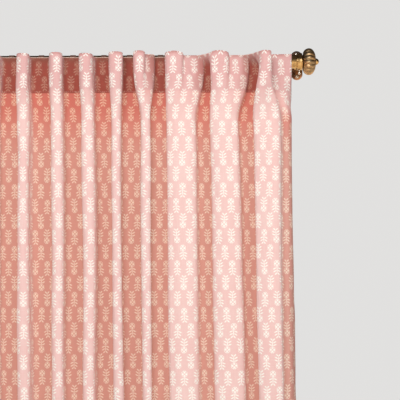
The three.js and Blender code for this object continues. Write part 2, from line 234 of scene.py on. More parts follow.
# The printed sprig, in mm about its middle: a bud below and leaves above it, mirrored left and right.
SPRIG_PITCH = (22.0, 28.5)
SPRIG_START = (4.0, 6.0)
BUD = {"at": (0.0, -6.6), "size": (5.5, 6.3), "turn": 0}
SPRIG_PARTS = [
    {"at": (0.0, 5.0), "size": (0.75, 6.4), "turn": 0},
    {"at": (3.9, 2.6), "size": (3.2, 1.1), "turn": 26},
    {"at": (3.7, 7.6), "size": (3.1, 1.1), "turn": 34},
    {"at": (2.3, 12.4), "size": (2.6, 1.05), "turn": 50},
]
SCALE_PITCH = 6.2
PRINT_EDGE = 0.3
RAGGED = 1.3
SPRIG_SHIFT = 1.2
SPRIG_TILT = 0.14


def print_mask(g, flat):
    """How much cream ink lies at a place on the cloth, given in mm: rows of sprigs, set half a step over in
    every other row. Two stand and one hangs by turns, and the other way about in every other pair of rows."""
    moved = g.node("ShaderNodeVectorMath", {0: flat, 1: (*SPRIG_START, 0.0)}, operation="ADD").outputs[0]
    split = g.node("ShaderNodeSeparateXYZ", {0: moved})
    row_place = g.math("DIVIDE", split.outputs[1], SPRIG_PITCH[1])
    row = g.math("FLOOR", row_place)
    odd = g.math("FLOORED_MODULO", row, 2.0)
    column_place = g.math("MULTIPLY_ADD", odd, 0.5, g.math("DIVIDE", split.outputs[0], SPRIG_PITCH[0]))
    column = g.math("FLOOR", column_place)
    cell = g.node("ShaderNodeCombineXYZ", {0: column, 1: row, 2: 0.5}).outputs[0]
    random = g.node("ShaderNodeTexWhiteNoise", {"Vector": cell}, noise_dimensions="3D")
    shake = g.node("ShaderNodeSeparateColor", {0: random.outputs["Color"]})

    def place(whole, part, pitch, chance):
        middle = g.math("MULTIPLY", g.math("SUBTRACT", g.math("SUBTRACT", whole, part), 0.5), pitch)
        return g.math("ADD", middle, g.math("MULTIPLY", g.math("SUBTRACT", chance, 0.5), SPRIG_SHIFT))

    a = place(column_place, column, SPRIG_PITCH[0], shake.outputs[0])
    b = place(row_place, row, SPRIG_PITCH[1], shake.outputs[1])
    third = g.math("GREATER_THAN", g.math("FLOORED_MODULO", column, 3.0), 1.5)
    pair = g.math("FLOORED_MODULO", g.math("FLOOR", g.math("DIVIDE", row, 2.0)), 2.0)
    hangs = g.math("FLOORED_MODULO", g.math("ADD", third, pair), 2.0)
    b = g.math("MULTIPLY", b, g.math("MULTIPLY_ADD", hangs, -2.0, 1.0))
    tilt = g.math("MULTIPLY", g.math("SUBTRACT", shake.outputs[2], 0.5), SPRIG_TILT)
    local = g.node("ShaderNodeCombineXYZ", {0: a, 1: b, 2: 0.0}).outputs[0]
    turned = g.node("ShaderNodeVectorRotate", {"Vector": local, "Angle": tilt}, rotation_type="Z_AXIS")
    sides = g.node("ShaderNodeSeparateXYZ", {0: turned.outputs[0]})
    side, up = g.math("ABSOLUTE", sides.outputs[0]), sides.outputs[1]
    folded = g.node("ShaderNodeCombineXYZ", {0: side, 1: up, 2: 0.0}).outputs[0]

    def away(part):
        """The distance in mm outside an ellipse, below zero inside it."""
        inputs = {
            "Vector": folded,
            "Location": (*part["at"], 0.0),
            "Rotation": (0.0, 0.0, math.radians(part["turn"])),
            "Scale": (*part["size"], 1.0),
        }
        mapped = g.node("ShaderNodeMapping", inputs, vector_type="TEXTURE").outputs[0]
        reach = g.node("ShaderNodeVectorMath", {0: mapped}, operation="LENGTH").outputs["Value"]
        return g.math("MULTIPLY_ADD", reach, min(part["size"]), -min(part["size"]))

    leaves = away(SPRIG_PARTS[0])
    for part in SPRIG_PARTS[1:]:
        leaves = g.math("MINIMUM", leaves, away(part))
    high = g.math("DIVIDE", g.math("SUBTRACT", up, BUD["at"][1]), BUD["size"][1])
    belly = g.math("SQRT", g.math("MAXIMUM", g.math("SUBTRACT", 1.0, g.math("MULTIPLY", high, high)), 0.1))
    bud = away(BUD)
    bent = g.math("DIVIDE", side, belly)
    half_turn = math.pi / SCALE_PITCH
    rows = g.math("SINE", g.math("MULTIPLY", g.math("ADD", bent, up), half_turn))
    slants = g.math("SINE", g.math("MULTIPLY", g.math("SUBTRACT", bent, up), half_turn))
    scales = g.steps(g.math("ABSOLUTE", g.math("MULTIPLY", rows, slants)), 0.1, 0.4)
    ragged = g.math("MULTIPLY", g.math("SUBTRACT", g.noise(flat, 0.8, 3.0), 0.5), RAGGED)
    leaf_ink = g.steps(g.math("ADD", leaves, ragged), PRINT_EDGE, -PRINT_EDGE)
    bud_ink = g.math("MULTIPLY", g.steps(g.math("ADD", bud, ragged), PRINT_EDGE, -PRINT_EDGE), scales)
    worn = g.steps(g.noise(flat, 0.35, 4.0, 0.65), 0.25, 0.55, 0.7, 1.0)
    return g.math("MULTIPLY", g.math("MAXIMUM", leaf_ink, bud_ink), worn)


# The cloth's colours: pale on the folds, with painted shade in the valleys and a painted glow just below the
# header, where light comes from one fold to the next or through the cloth, and painted shade on the pale
# colour over the header and at its top edge. The header is double, so its valleys are painted darker still,
# with painted brown shade by the rod and a painted highlight along the top edge.
GROUND_LIGHT = (0.90, 0.685, 0.64, 1)
GROUND_DEEP = (0.87, 0.565, 0.53, 1)
INK = (0.985, 0.94, 0.855, 1)
# Painted shade on the pale colour over the header, and darker still at the top edge.
HEADER_SHADE_TINT = (0.93, 0.80, 0.81, 1)
HEADER_SHADE_ENDS = 105
TOP_SHADE_TINT = (0.74, 0.52, 0.52, 1)
# Painted shade in the valleys, and a painted glow of light through the cloth below the header.
VALLEY_SHADE_GROUND = (0.65, 0.315, 0.255, 1)
VALLEY_SHADE_INK = (0.86, 0.67, 0.53, 1)
GLOW_GROUND = (0.65, 0.17, 0.13, 1)
GLOW_INK = (0.85, 0.54, 0.38, 1)
GLOW_ENDS = 190
# Painted shade in the double header's valleys.
HEADER_SHADE_GROUND = (0.39, 0.097, 0.07, 1)
HEADER_SHADE_INK = (0.55, 0.28, 0.20, 1)
# A painted highlight on the folded top edge in the valleys.
RIM_HIGHLIGHT = (0.80, 0.58, 0.48, 1)
ROD_SHADE = (0.30, 0.11, 0.075, 1)
ROD_SHADE_DEPTH = 16
THROUGH_GROUND = (0.92, 0.40, 0.28, 1)
THROUGH_INK = (0.92, 0.62, 0.44, 1)
THREAD_PITCH = 0.62
THROUGH = 0.18


def material_graph(name):
    return Graph(bpy.data.materials.new(name))


def cloth_place(g):
    """The place on the flat cloth in mm, whole and split into across and down."""
    uv = g.node("ShaderNodeUVMap", uv_map="cloth").outputs[0]
    flat = g.node("ShaderNodeVectorMath", {0: uv, 3: 1000.0}, operation="SCALE").outputs[0]
    across, downwards, _ = g.node("ShaderNodeSeparateXYZ", {0: flat}).outputs
    return flat, across, downwards


def cotton_material():
    """Printed cotton: its ground colour, with painted shade, a painted glow and a painted highlight in the
    valleys and header, its weave and the cream print.
    """
    g = material_graph("printed_cotton")
    flat, across, downwards = cloth_place(g)
    ink = print_mask(g, flat)

    warp = g.noise(g.scaled(flat, 1.3, 0.03), 1.0, 3.0, 0.6)
    weft = g.noise(g.scaled(flat, 0.035, 1.5), 1.0, 3.0, 0.6)
    slub = g.math("MULTIPLY", g.math("ADD", warp, weft), 0.5)
    cloud = g.noise(flat, 0.012, 2.0)
    tone = g.steps(g.math("MULTIPLY_ADD", cloud, 0.35, slub), 0.45, 0.9)
    # Painted shade from the valley attribute: 0 keeps the pale colour, 1 gives the shaded one.
    valley = g.node("ShaderNodeAttribute", attribute_name="valley").outputs["Fac"]
    depth = g.math("ABSOLUTE", downwards)
    double = g.steps(depth, HEADER_DEPTH + 0.6, HEADER_DEPTH - 0.6)
    by_rod = g.steps(depth, ROD_SHADE_DEPTH, 0.0)
    glow = g.steps(depth, GLOW_ENDS, HEADER_DEPTH)
    # Painted shade in the valleys, with a painted glow just below the header and darker painted shade over
    # the double header.
    shaded_ground = g.mix(double, g.mix(glow, VALLEY_SHADE_GROUND, GLOW_GROUND), HEADER_SHADE_GROUND)
    shaded_ink = g.mix(double, g.mix(glow, VALLEY_SHADE_INK, GLOW_INK), HEADER_SHADE_INK)
    # Painted shade on the pale colour over the header, darker at the top edge.
    shade_tint = g.mix(g.steps(depth, HEADER_SHADE_ENDS, HEADER_DEPTH / 2), (1, 1, 1, 1), HEADER_SHADE_TINT)
    shade_tint = g.mix(g.steps(depth, 6.0, 0.0), shade_tint, TOP_SHADE_TINT)
    pale = g.mix(tone, GROUND_DEEP, GROUND_LIGHT)
    pale = g.node("ShaderNodeVectorMath", {0: pale, 1: shade_tint}, operation="MULTIPLY").outputs[0]
    pale = g.mix(ink, pale, INK)
    deep = g.mix(by_rod, g.mix(ink, shaded_ground, shaded_ink), ROD_SHADE)
    # A painted highlight along the folded top edge in the valleys.
    deep = g.mix(g.steps(depth, 1.6, 0.8), deep, RIM_HIGHLIGHT)
    turn = 2 * math.pi / THREAD_PITCH
    warps = g.math("SINE", g.math("MULTIPLY", across, turn))
    wefts = g.math("SINE", g.math("MULTIPLY", downwards, turn))
    weave = g.math("MULTIPLY", warps, wefts)
    height = g.math("MULTIPLY_ADD", weave, 0.25, g.math("MULTIPLY", slub, 1.6))
    normal = g.bump(height, 0.35, 0.0003)
    g.surface(
        {
            "Base Color": g.mix(valley, pale, deep),
            "Roughness": 0.9,
            "Specular IOR Level": 0.2,
            "Sheen Weight": 0.12,
            "Sheen Roughness": 0.5,
            "Sheen Tint": (1.0, 0.86, 0.82, 1),
            "Normal": normal,
        }
    )

    through = g.node("ShaderNodeBsdfTranslucent", {"Color": g.mix(ink, THROUGH_GROUND, THROUGH_INK)})
    g.feed(through.inputs["Normal"], normal)
    both = g.node("ShaderNodeMixShader")
    g.feed(both.inputs[0], g.math("MULTIPLY_ADD", ink, -0.08, THROUGH))
    g.feed(both.inputs[1], g.shader.outputs[0])
    g.feed(both.inputs[2], through.outputs[0])
    g.feed(g.tree.nodes["Material Output"].inputs["Surface"], both.outputs[0])
    return g.owner


RIB_PITCH = 0.8


def tape_material():
    """Brown twill tape: fine slanted ribs."""
    g = material_graph("twill_tape")
    flat, across, downwards = cloth_place(g)
    slant = g.math("MULTIPLY", g.math("ADD", across, downwards), 2 * math.pi / RIB_PITCH)
    rib = g.math("MULTIPLY_ADD", g.math("SINE", slant), 0.5, 0.5)
    age = g.noise(flat, 0.4, 3.0)
    brown = g.mix(age, (0.10, 0.04, 0.025, 1), (0.16, 0.07, 0.045, 1))
    worn = g.mix(g.math("MULTIPLY", rib, 0.5), brown, (0.19, 0.09, 0.06, 1))
    g.surface({"Base Color": worn, "Roughness": 0.85, "Normal": g.bump(rib, 0.5, 0.0003)})
    return g.owner


def thread_material():
    g = material_graph("sewing_thread")
    place = g.node("ShaderNodeTexCoord").outputs["Object"]
    twist = g.noise(place, 2500.0, 2.0)
    colour = g.mix(twist, (0.72, 0.36, 0.32, 1), (0.86, 0.52, 0.47, 1))
    g.surface({"Base Color": colour, "Roughness": 0.7, "Normal": g.bump(twist, 0.4, 0.0002)})
    return g.owner


def metal_material(name, bright, dark, roughness, patina, grooves=False, shade_above=None):
    """Antique metal: dark patina in clouds and in the grooves, a painted dark reflection on what faces up,
    painted shade above a height where one is given, and bright where worn.
    """
    g = material_graph(name)
    place = g.node("ShaderNodeTexCoord").outputs["Object"]
    clouds = g.noise(place, 45.0, 6.0, 0.62)
    fine = g.noise(place, 420.0, 4.0, 0.6)
    age = g.steps(g.math("MULTIPLY_ADD", fine, 0.35, clouds), 0.62 - patina, 0.92 - patina)
    # Painted dark reflection: what faces up is darkened, as the metal would mirror a dark room above it.
    facing = g.node("ShaderNodeNewGeometry").outputs["Normal"]
    upwards = g.node("ShaderNodeSeparateXYZ", {0: facing}).outputs[2]
    age = g.math("MAXIMUM", age, g.steps(upwards, 0.0, 0.75, 0.0, 0.85))
    if grooves:
        depth = g.node("ShaderNodeAttribute", attribute_name="groove").outputs["Fac"]
        age = g.math("MAXIMUM", g.math("MULTIPLY", age, 0.8), g.steps(depth, 0.3, 0.95, 0.0, 0.85))
    # Painted shade: darker above a given height.
    if shade_above is not None:
        height = g.node("ShaderNodeSeparateXYZ", {0: place}).outputs[2]
        age = g.math("MAXIMUM", age, g.steps(height, shade_above, shade_above + 0.012))
    rough = g.math("MULTIPLY_ADD", fine, 0.08, g.math("MULTIPLY_ADD", age, 0.12, roughness))
    normal = g.bump(g.math("MULTIPLY_ADD", fine, 0.5, clouds), 0.12, 0.0006)
    g.surface({"Base Color": g.mix(age, bright, dark), "Metallic": 1.0, "Roughness": rough, "Normal": normal})
    return g.owner


def down(below, top, first, second, start=TAB_FOOT):
    """A value of the fold table at a height: the header's down to a start, then on to the low stations'."""
    if below <= start:
        return top
    if below <= LOW_1:
        t = (below - start) / (LOW_1 - start)
        return top + (first - top) * t * t * (3 - 2 * t)
    t = min(1, (below - LOW_1) / (LOW_2 - LOW_1))
    return first + (second - first) * t


def flare(x, below):
    """x scaled about the cloth's middle, by 1 down to LOW_2 and by HEM_FLARE at the hem."""
    t = max(0, (below - LOW_2) / (DROP - TOP_EDGE - LOW_2))
    middle = (VALLEYS[0]["x2"] + VALLEYS[-1]["x2"]) / 2
    return middle + (x - middle) * (1 + (HEM_FLARE - 1) * t)


def walk(length, bend, angle):
    """Places along a fold's side, as rows of distance along it, x and out."""
    middles = (np.arange(WALK_STEPS) + 0.5) * length / WALK_STEPS
    near = np.minimum(middles, length - middles)
    turn = angle * np.where(near >= bend, 1, np.sin(math.pi / 2 * np.minimum(1, near / max(bend, 1e-9))))
    step = length / WALK_STEPS
    x = np.concatenate([[0], np.cumsum(np.cos(turn) * step)])
    out = np.concatenate([[0], np.cumsum(np.sin(turn) * step)])
    return np.stack([np.arange(WALK_STEPS + 1) * step, x, out], 1)


def fold_side(length, advance):
    """The side of a fold that takes up a length of cloth over a shorter advance along the rod."""
    soft = length / 2
    full = walk(length, soft, FULL_FOLD)[-1, 1] > advance
    low, high = 0.0, 1.0
    for _ in range(30):
        middle = (low + high) / 2
        run = walk(length, soft * (1 - middle), FULL_FOLD) if full else walk(length, soft, FULL_FOLD * middle)
        if run[-1, 1] > advance:
            low = middle
        else:
            high = middle
    return run


# How much a flat crest bulges and a valley's floor sags, as shares of their width
CROWN = 0.11
SAG = 0.09
FLOOR_POINTS = 9

# The shade: how far out a fold is free of it, and a broad fold's right side; the shade on a shelf and at its
# edge; and on the last fold's right side and the free edge, which both darken from a height below the rod.
VALLEY_OUT = 10
RIGHT_OUT = 22
BROAD_CREST = 10
BROAD_SPAN = 20
SHELF_SHADE = 0.14
SHELF_EDGE_SHADE = 0.6
SHELF_EDGE = 15
EDGE_SHADE = 0.1
EDGE_TURNS = 75
EDGE_TURNS_OVER = 40
FLANK_TURNED = 0.3
FLOOR_TURNED = 0.8


def smooth(places):
    """A soft step from 0 to 1."""
    inside = np.clip(places, 0, 1)
    return inside * inside * (3 - 2 * inside)


def crown(places, width):
    """How far a fold's flat top of a width stands out in a soft crown, at places from 0 to 1 along it."""
    inside = np.clip(places, 0, 1)
    return CROWN * width * 4 * inside * (1 - inside)


def fold(row, following, middle, fall):
    """The fold between two valleys: up its left side, over its peak and its shelf, and down its right side.
    Rows of distance along the cloth, x, out in front of the valleys, the top edge's rise and the shade."""
    length = row["step"] * row["crest"]
    peak = row["peak"] * row["crest"]
    step = walk(length, length / 2, fall)
    top = row["crest"] - length + step[-1, 1]
    cloth = TAB_PITCH - row["floor"] - following["floor"] - row["crest"]
    span = following["x"] - row["x"] - row["floor"] - following["floor"] - top
    run = fold_side(cloth / 2, span / 2)
    high = run[-1, 2] + step[-1, 2] / 2
    higher = high / run[-1, 2]
    left = run * higher + (middle + row["floor"], row["x"] + row["floor"], 0)
    right = (run * (2 - higher) * (-1, -1, 1))[::-1]
    right += (middle + TAB_PITCH - following["floor"], following["x"] - following["floor"], 0)

    flat = np.linspace(0, row["crest"], 33)
    over = np.clip(flat - peak, 0, length)
    moved = flat - over + np.interp(over, step[:, 0], step[:, 1])
    stepped = fall / STEP_FALL if row["step"] else 0
    out = high - np.interp(over, step[:, 0], step[:, 2])
    out += (1 - stepped) * crown(flat / max(row["crest"], 0.1), row["crest"])
    out += stepped * crown(flat / max(peak, 0.1), peak)
    crest = np.stack([left[-1, 0] + flat, left[-1, 1] + moved, out], 1)
    line = np.concatenate([left[1:], crest[1:-1], right[:-1]])
    share = line[:, 2] / high
    line[:, 1] += row["lean"] * share
    rise = row["edge"] + row["rise"] * share**2
    before_end = left[-1, 0] + row["crest"] - line[:, 0]
    on_shelf = stepped * smooth((line[:, 0] - left[-1, 0] - peak) / 6)
    shelf = on_shelf * (SHELF_SHADE + SHELF_EDGE_SHADE * smooth(1 - before_end / SHELF_EDGE))
    broad = (1 - stepped) * smooth((row["crest"] - BROAD_CREST) / BROAD_SPAN)
    falling = smooth((line[:, 0] - left[-1, 0] - row["crest"] / 2) / 4)
    reach = VALLEY_OUT + (RIGHT_OUT - VALLEY_OUT) * broad * falling
    shade = np.maximum(1 - smooth(line[:, 2] / reach), shelf)
    return np.concatenate([line, rise[:, None], shade[:, None]], 1)


# The pockets between a shelf and the next peak close towards the top edge: each valley, and how far along
# the cloth its two sides reach.
POCKETS = ((8, 22, 27), (9, 24, 52))
POCKET_CLOSED = 0.9
POCKET_DEPTH = 10


def closed_pockets(line, t):
    """Draws the cloth straight from a shelf to the next peak, less and less below the top edge."""
    share = POCKET_CLOSED * math.exp(-((t / POCKET_DEPTH) ** 2))
    for valley, left, right in POCKETS:
        middle = TAB_EDGE + valley * TAB_PITCH
        ends = np.array([middle - left, middle + right])
        inside = (line[:, 0] > ends[0]) & (line[:, 0] < ends[1])
        for k in range(1, 5):
            straight = np.interp(line[inside, 0], ends, np.interp(ends, line[:, 0], line[:, k]))
            line[inside, k] += share * (straight - line[inside, k])
    return line


@functools.lru_cache(maxsize=None)
def section(below):
    """The cloth's back face at a height, in rows of distance along the cloth, x, out in front of the valleys,
    the top edge's rise, and shade, which is 1 in the valleys and 0 where a fold stands out."""
    rows = [
        {
            **v,
            "x": flare(down(below, v["x_top"], v["x1"], v["x2"]), below),
            "floor": down(below, v["floor_top"], v["floor"], v["floor"]),
            "crest": down(below, v["crest_top"], v["crest"], v["crest"], -TOP_EDGE),
            "lean": down(below, v["lean_top"], v["lean"], v["lean"], -TOP_EDGE),
        }
        for v in VALLEYS
    ]

    turned = float(smooth((below - EDGE_TURNS) / EDGE_TURNS_OVER))
    last_shade = EDGE_SHADE + FLOOR_TURNED * turned

    def side(row, way, turn):
        length = TAB_EDGE - row["floor"]
        run = walk(2 * length, length, math.radians(turn))[1 : WALK_STEPS // 2 + 1]
        x = row["x"] + way * (row["floor"] + run[:, 1])
        shade = np.ones(len(x))
        if way > 0:
            shade = EDGE_SHADE + (1 - EDGE_SHADE) * turned * (0.85 + 0.15 * smooth(run[:, 2] / 3))
        return np.stack([row["floor"] + run[:, 0], x, -run[:, 2], np.full(len(x), row["edge"]), shade], 1)

    left = side(rows[0], -1, down(below, 0, *LEFT_TURN, SIDE_START))[::-1]
    left[:, 0] = TAB_EDGE - left[:, 0]
    parts = [left]
    fall = down(below, STEP_FALL, 0, 0, -TOP_EDGE)
    for i, row in enumerate(rows):
        middle = TAB_EDGE + i * TAB_PITCH
        sag = down(below, 0, 1, 1) * SAG * row["floor"]
        share = np.linspace(-1, 1, FLOOR_POINTS)
        floor = [middle + share * row["floor"], row["x"] + share * row["floor"], -sag * (1 - share**2)]
        shade = np.full(FLOOR_POINTS, 1.0 if i + 1 < len(rows) else last_shade)
        parts.append(np.stack([*floor, np.full(FLOOR_POINTS, row["edge"]), shade], 1))
        if i + 1 < len(rows):
            parts.append(fold(row, rows[i + 1], middle, fall))
            if i + 2 == len(rows):
                beyond = parts[-1][:, 0] > middle + TAB_PITCH / 2
                parts[-1][beyond, 4] = np.minimum(parts[-1][beyond, 4], EDGE_SHADE + FLANK_TURNED * turned)
    right = side(rows[-1], 1, down(below, 0, *RIGHT_TURN, SIDE_START))
    right[:, 0] += CLOTH_WIDTH - TAB_EDGE
    parts.append(right)
    return closed_pockets(np.concatenate(parts), below + TOP_EDGE)


def smooth_noise(s, t, cell_s, cell_t, seed):
    """Soft random hills from -1 to 1 over the flat cloth."""
    table = np.random.default_rng(seed).uniform(-1, 1, (64, 64))
    a, b = np.asarray(s) / cell_s + 5, np.asarray(t) / cell_t + 5
    i, j = np.floor(a).astype(int), np.floor(b).astype(int)
    p, q = a - i, b - j
    p, q = p * p * (3 - 2 * p), q * q * (3 - 2 * q)
    near = table[i % 64, j % 64] * (1 - p) + table[(i + 1) % 64, j % 64] * p
    far = table[i % 64, (j + 1) % 64] * (1 - p) + table[(i + 1) % 64, (j + 1) % 64] * p
    return near * (1 - q) + far * q


# Creases in the cloth, in mm on the flat cloth: from, to, how deep (a ridge where negative) and how wide.
CREASES = [
    {"start": (951, 28), "end": (963, 62), "depth": -2.4, "width": 2.4},
    {"start": (958, 24), "end": (970, 60), "depth": 2.0, "width": 3.4},
    {"start": (329, 14), "end": (334, 120), "depth": 1.0, "width": 2.6},
    {"start": (449, 18), "end": (455, 96), "depth": 1.1, "width": 2.6},
    {"start": (569, 10), "end": (564, 92), "depth": 1.0, "width": 2.8},
    {"start": (475, 82), "end": (486, 100), "depth": -1.2, "width": 3},
    {"start": (1246, 22), "end": (1249, 70), "depth": 2.6, "width": 3},
    {"start": (1256, 6), "end": (1255, 40), "depth": 1.2, "width": 3},
    {"start": (1240, 74), "end": (1232, 130), "depth": 2.2, "width": 4},
    {"start": (1185, 66), "end": (1187, 420), "depth": 2.2, "width": 5.5},
    {"start": (1072, 60), "end": (1066, 230), "depth": 1.2, "width": 6},
    {"start": (938, 96), "end": (941, 420), "depth": 2.2, "width": 3.6},
]


def crease_depth(s, t):
    """How far the creases push the cloth in at places on the flat cloth."""
    total = np.zeros(np.broadcast(s, t).shape)
    for crease in CREASES:
        start, end = np.array(crease["start"], float), np.array(crease["end"], float)
        way = end - start
        share = np.clip(((s - start[0]) * way[0] + (t - start[1]) * way[1]) / (way @ way), 0, 1)
        off = np.hypot(s - start[0] - share * way[0], t - start[1] - share * way[1])
        total += crease["depth"] * np.exp(-((off / crease["width"]) ** 2))
    return total


def cloth_line(s, t, off):
    """Points of the hung cloth at distances s along it, all at one distance t below its top edge. off is
    the distance in front of the section's line."""
    below = t - TOP_EDGE
    line = section(below)
    x, out, rise = (np.interp(s, line[:, 0], line[:, k]) for k in (1, 2, 3))
    near = np.array([s - 1.0, s + 1.0])
    slope_x = np.diff(np.interp(near, line[:, 0], line[:, 1]), axis=0)[0]
    slope_out = np.diff(np.interp(near, line[:, 0], line[:, 2]), axis=0)[0]
    normal = np.stack([-slope_out, slope_x], 1)
    normal /= np.linalg.norm(normal, axis=1)[:, None]
    free = min(1, max(0, (t - HEADER_DEPTH) / 120))
    waves = 1.5 * smooth_noise(s, t, 46, 260, 3) + 0.8 * smooth_noise(s, t, 21, 120, 4)
    small = 0.5 * smooth_noise(s, t, 9, 44, 5)
    at_end = np.exp(-(((s - 1240) / 22) ** 2)) * min(1, t / 8) * max(0, 1 - t / 150)
    crumple = 0.9 * at_end * np.sin(2 * math.pi * s / 9.5 + 1.2 * math.sin(t / 14))
    moved = off + waves * free + small + crumple - crease_depth(s, t)
    drift = free * (2.0 * smooth_noise(s, t, 120, 330, 6))
    back = HEADER_BACK - down(below, 0, SWING_BACK, SWING_BACK)
    z = ROD_Z - below + rise * max(0, 1 - t / RISE_ENDS)
    return np.stack([x + drift + normal[:, 0] * moved, ROD_Y - back - out - normal[:, 1] * moved, z], 1)


def valley_share(s, t):
    """The shade at places on the cloth."""
    line = section(t - TOP_EDGE)
    return np.interp(s, line[:, 0], line[:, 4])


# Where the cloth's rows lie: dense where the photo looks, and coarser below.
FINE_ROW = 5.5
COARSE_ROW = 15
FINE_DROP = 660
COLUMN_STEP = 3.6
HEM_COLUMNS = 6


def cloth_rows():
    """The cloth's rows from the turned header's end at the back, over the top, down the front, and round the
    bottom hem: each with t, the distance off the section's line, and v, its place on the flat cloth."""
    rows = []
    for t in np.linspace(HEADER_DEPTH, 3, 12):
        rows.append((t, TURN_OFF, t))
    rows.append((0.6, TURN_OFF + 0.1, 0.6))
    rows.append((0, (TURN_OFF + FRONT_OFF) / 2, 0))
    rows.append((0.6, FRONT_OFF - 0.1, -0.6))
    fine = np.linspace(3, FINE_DROP, round((FINE_DROP - 3) / FINE_ROW))
    coarse = np.linspace(FINE_DROP, DROP - 3, round((DROP - 3 - FINE_DROP) / COARSE_ROW))[1:]
    for t in np.concatenate([fine, coarse]):
        rows.append((t, FRONT_OFF, -t))
    rows.append((DROP - 0.6, FRONT_OFF - 0.1, -DROP + 0.6))
    rows.append((DROP, (TURN_OFF + FRONT_OFF) / 2, -DROP))
    rows.append((DROP - 0.6, TURN_OFF + 0.1, -DROP - 0.6))
    for t in np.linspace(DROP - 3, DROP - HEM_DEPTH, 9):
        rows.append((t, TURN_OFF, -2 * DROP + t))
    return rows


def grid_faces(rows, columns):
    """Quads of a grid of points whose rows run downwards and whose columns run to the right."""
    at = np.arange(rows * columns).reshape(rows, columns)
    corners = [at[:-1, :-1], at[1:, :-1], at[1:, 1:], at[:-1, 1:]]
    return np.stack(corners, -1).reshape(-1, 4).tolist()


def curtain():
    """The panel as one thin sheet, with its header turned to the back and its sides and bottom hemmed."""
    rows = cloth_rows()
    s = np.linspace(0, CLOTH_WIDTH, round(CLOTH_WIDTH / COLUMN_STEP) + 1)
    points = [cloth_line(s, t, off) for t, off, _ in rows]
    maps = [np.stack([s, np.full_like(s, v)], 1) for _, _, v in rows]
    valleys = [valley_share(s, t) for t, _, _ in rows]
    faces = grid_faces(len(rows), len(s))
    front = [i for i, (_, off, _) in enumerate(rows) if off == FRONT_OFF]
    first = len(rows) * len(s)
    for edge, inwards in ((0, 1), (len(s) - 1, -1)):
        turned = s[edge] + inwards * np.linspace(0.5, SIDE_HEM, HEM_COLUMNS)
        for i in front:
            t, _, v = rows[i]
            points.append(cloth_line(turned, t, HEM_OFF))
            maps.append(np.stack([2 * s[edge] - turned, np.full(HEM_COLUMNS, v)], 1))
            valleys.append(valley_share(turned, t))
        at = first + np.arange(len(front) * HEM_COLUMNS).reshape(len(front), HEM_COLUMNS)
        first += len(front) * HEM_COLUMNS
        joined = np.concatenate([np.array(front)[:, None] * len(s) + edge, at], 1)
        quads = np.stack([joined[:-1, :-1], joined[:-1, 1:], joined[1:, 1:], joined[1:, :-1]], -1)
        faces += (quads if inwards > 0 else quads[..., ::-1]).reshape(-1, 4).tolist()
    maps = np.concatenate(maps)
    low = maps.min(0)
    bake = (maps - low) / (maps.max(0) - low).max()
    made = object_from("curtain_cloth", np.concatenate(points), faces, {"cloth": maps * MM, "OFBake": bake})
    # The valley attribute holds each point's painted shade, which deepens the cloth's colour in the valleys.
    valley = made.data.attributes.new("valley", "FLOAT", "POINT")
    valley.data.foreach_set("value", np.concatenate(valleys).astype(np.float32))
    return made


def ring_faces(rings, around, first=0):
    """Quads between closed rings of points."""
    at = first + np.arange(rings * around).reshape(rings, around)
    after = np.roll(at, -1, 1)
    return np.stack([at[:-1], after[:-1], after[1:], at[1:]], -1).reshape(-1, 4).tolist()


def capped_faces(rings, around, first=0):
    """Faces between closed rings of points, with a lid on the first ring and on the last."""
    lids = [first + np.arange(around)[::-1], first + (rings - 1) * around + np.arange(around)]
    return ring_faces(rings, around, first) + [lid.tolist() for lid in lids]


def turned_over(faces):
    """The same faces with their other side outwards."""
    return [face[::-1] for face in faces]


def turned_points(profile, around, shape=None):
    """Rings about the X axis from rows of along and radius. shape gives each ring's radius by angle."""
    angles = np.arange(around) * 2 * math.pi / around
    rings = []
    for along, radius in profile:
        r = radius * (shape(angles, along) if shape else np.ones(around))
        rings.append(np.stack([np.full(around, float(along)), r * np.cos(angles), r * np.sin(angles)], 1))
    return np.concatenate(rings)


def lathe(name, profile, around=64, shape=None):
    """A closed turned piece along +X, from its first ring to its last."""
    points = turned_points(profile, around, shape)
    return object_from(name, points, turned_over(capped_faces(len(profile), around)))


def rounded(points, radius, steps=4):
    """An outline with its inner corners rounded: each becomes a short curve."""
    made = [points[0]]
    for before, here, after in zip(points, points[1:], points[2:]):
        here, to_before, to_after = (np.array(p, float) for p in (here, before, after))
        to_before, to_after = to_before - here, to_after - here
        r = min(radius, np.linalg.norm(to_before) / 2.2, np.linalg.norm(to_after) / 2.2)
        start = here + to_before / np.linalg.norm(to_before) * r
        end = here + to_after / np.linalg.norm(to_after) * r
        for k in range(steps + 1):
            q = k / steps
            made.append(tuple((1 - q) ** 2 * start + 2 * q * (1 - q) * here + q * q * end))
    made.append(points[-1])
    return made


def put(piece, x, y, z, turn=None):
    """Moves a piece's points, in mm, after a turn about the origin."""
    move = Matrix.Translation(Vector((x, y, z)) * MM)
    piece.data.transform(move @ turn if turn is not None else move)
    return piece


TO_FRONT = Matrix.Rotation(-math.pi / 2, 4, "Z")
TO_BELOW = Matrix.Rotation(math.pi / 2, 4, "Y")
TO_LEFT = Matrix.Rotation(math.pi, 4, "Z")


def rod(materials):
    half = ROD_LENGTH / 2
    profile = rounded([(-half, 2), (-half, ROD_RADIUS), (half, ROD_RADIUS), (half, 2)], 0.8)
    made = put(lathe("rod_tube", profile, 96), -BRACKET_SPACING / 2, ROD_Y, ROD_Z)
    finish_piece(made, materials["brass"], "brass", "rod")


# The melon's outline in along and radius, from its inner face over its widest ring.
MELON_OUTLINE = [(0, 11.2), (-1.9, 12.4), (-2.6, 15.5), (-1.9, 18.6), (0.2, 21.6), (3, 23.7), (6, 24.8)]
MELON_OUTLINE += [(9, 25), (12, 24.4), (15, 22.5), (17.4, 19.5), (19.2, 16), (20.3, 12), (20.6, 8.6)]
MELON_RINGS = 44
LOBE_POINTS = 14
GROOVE_DEPTH = 0.085


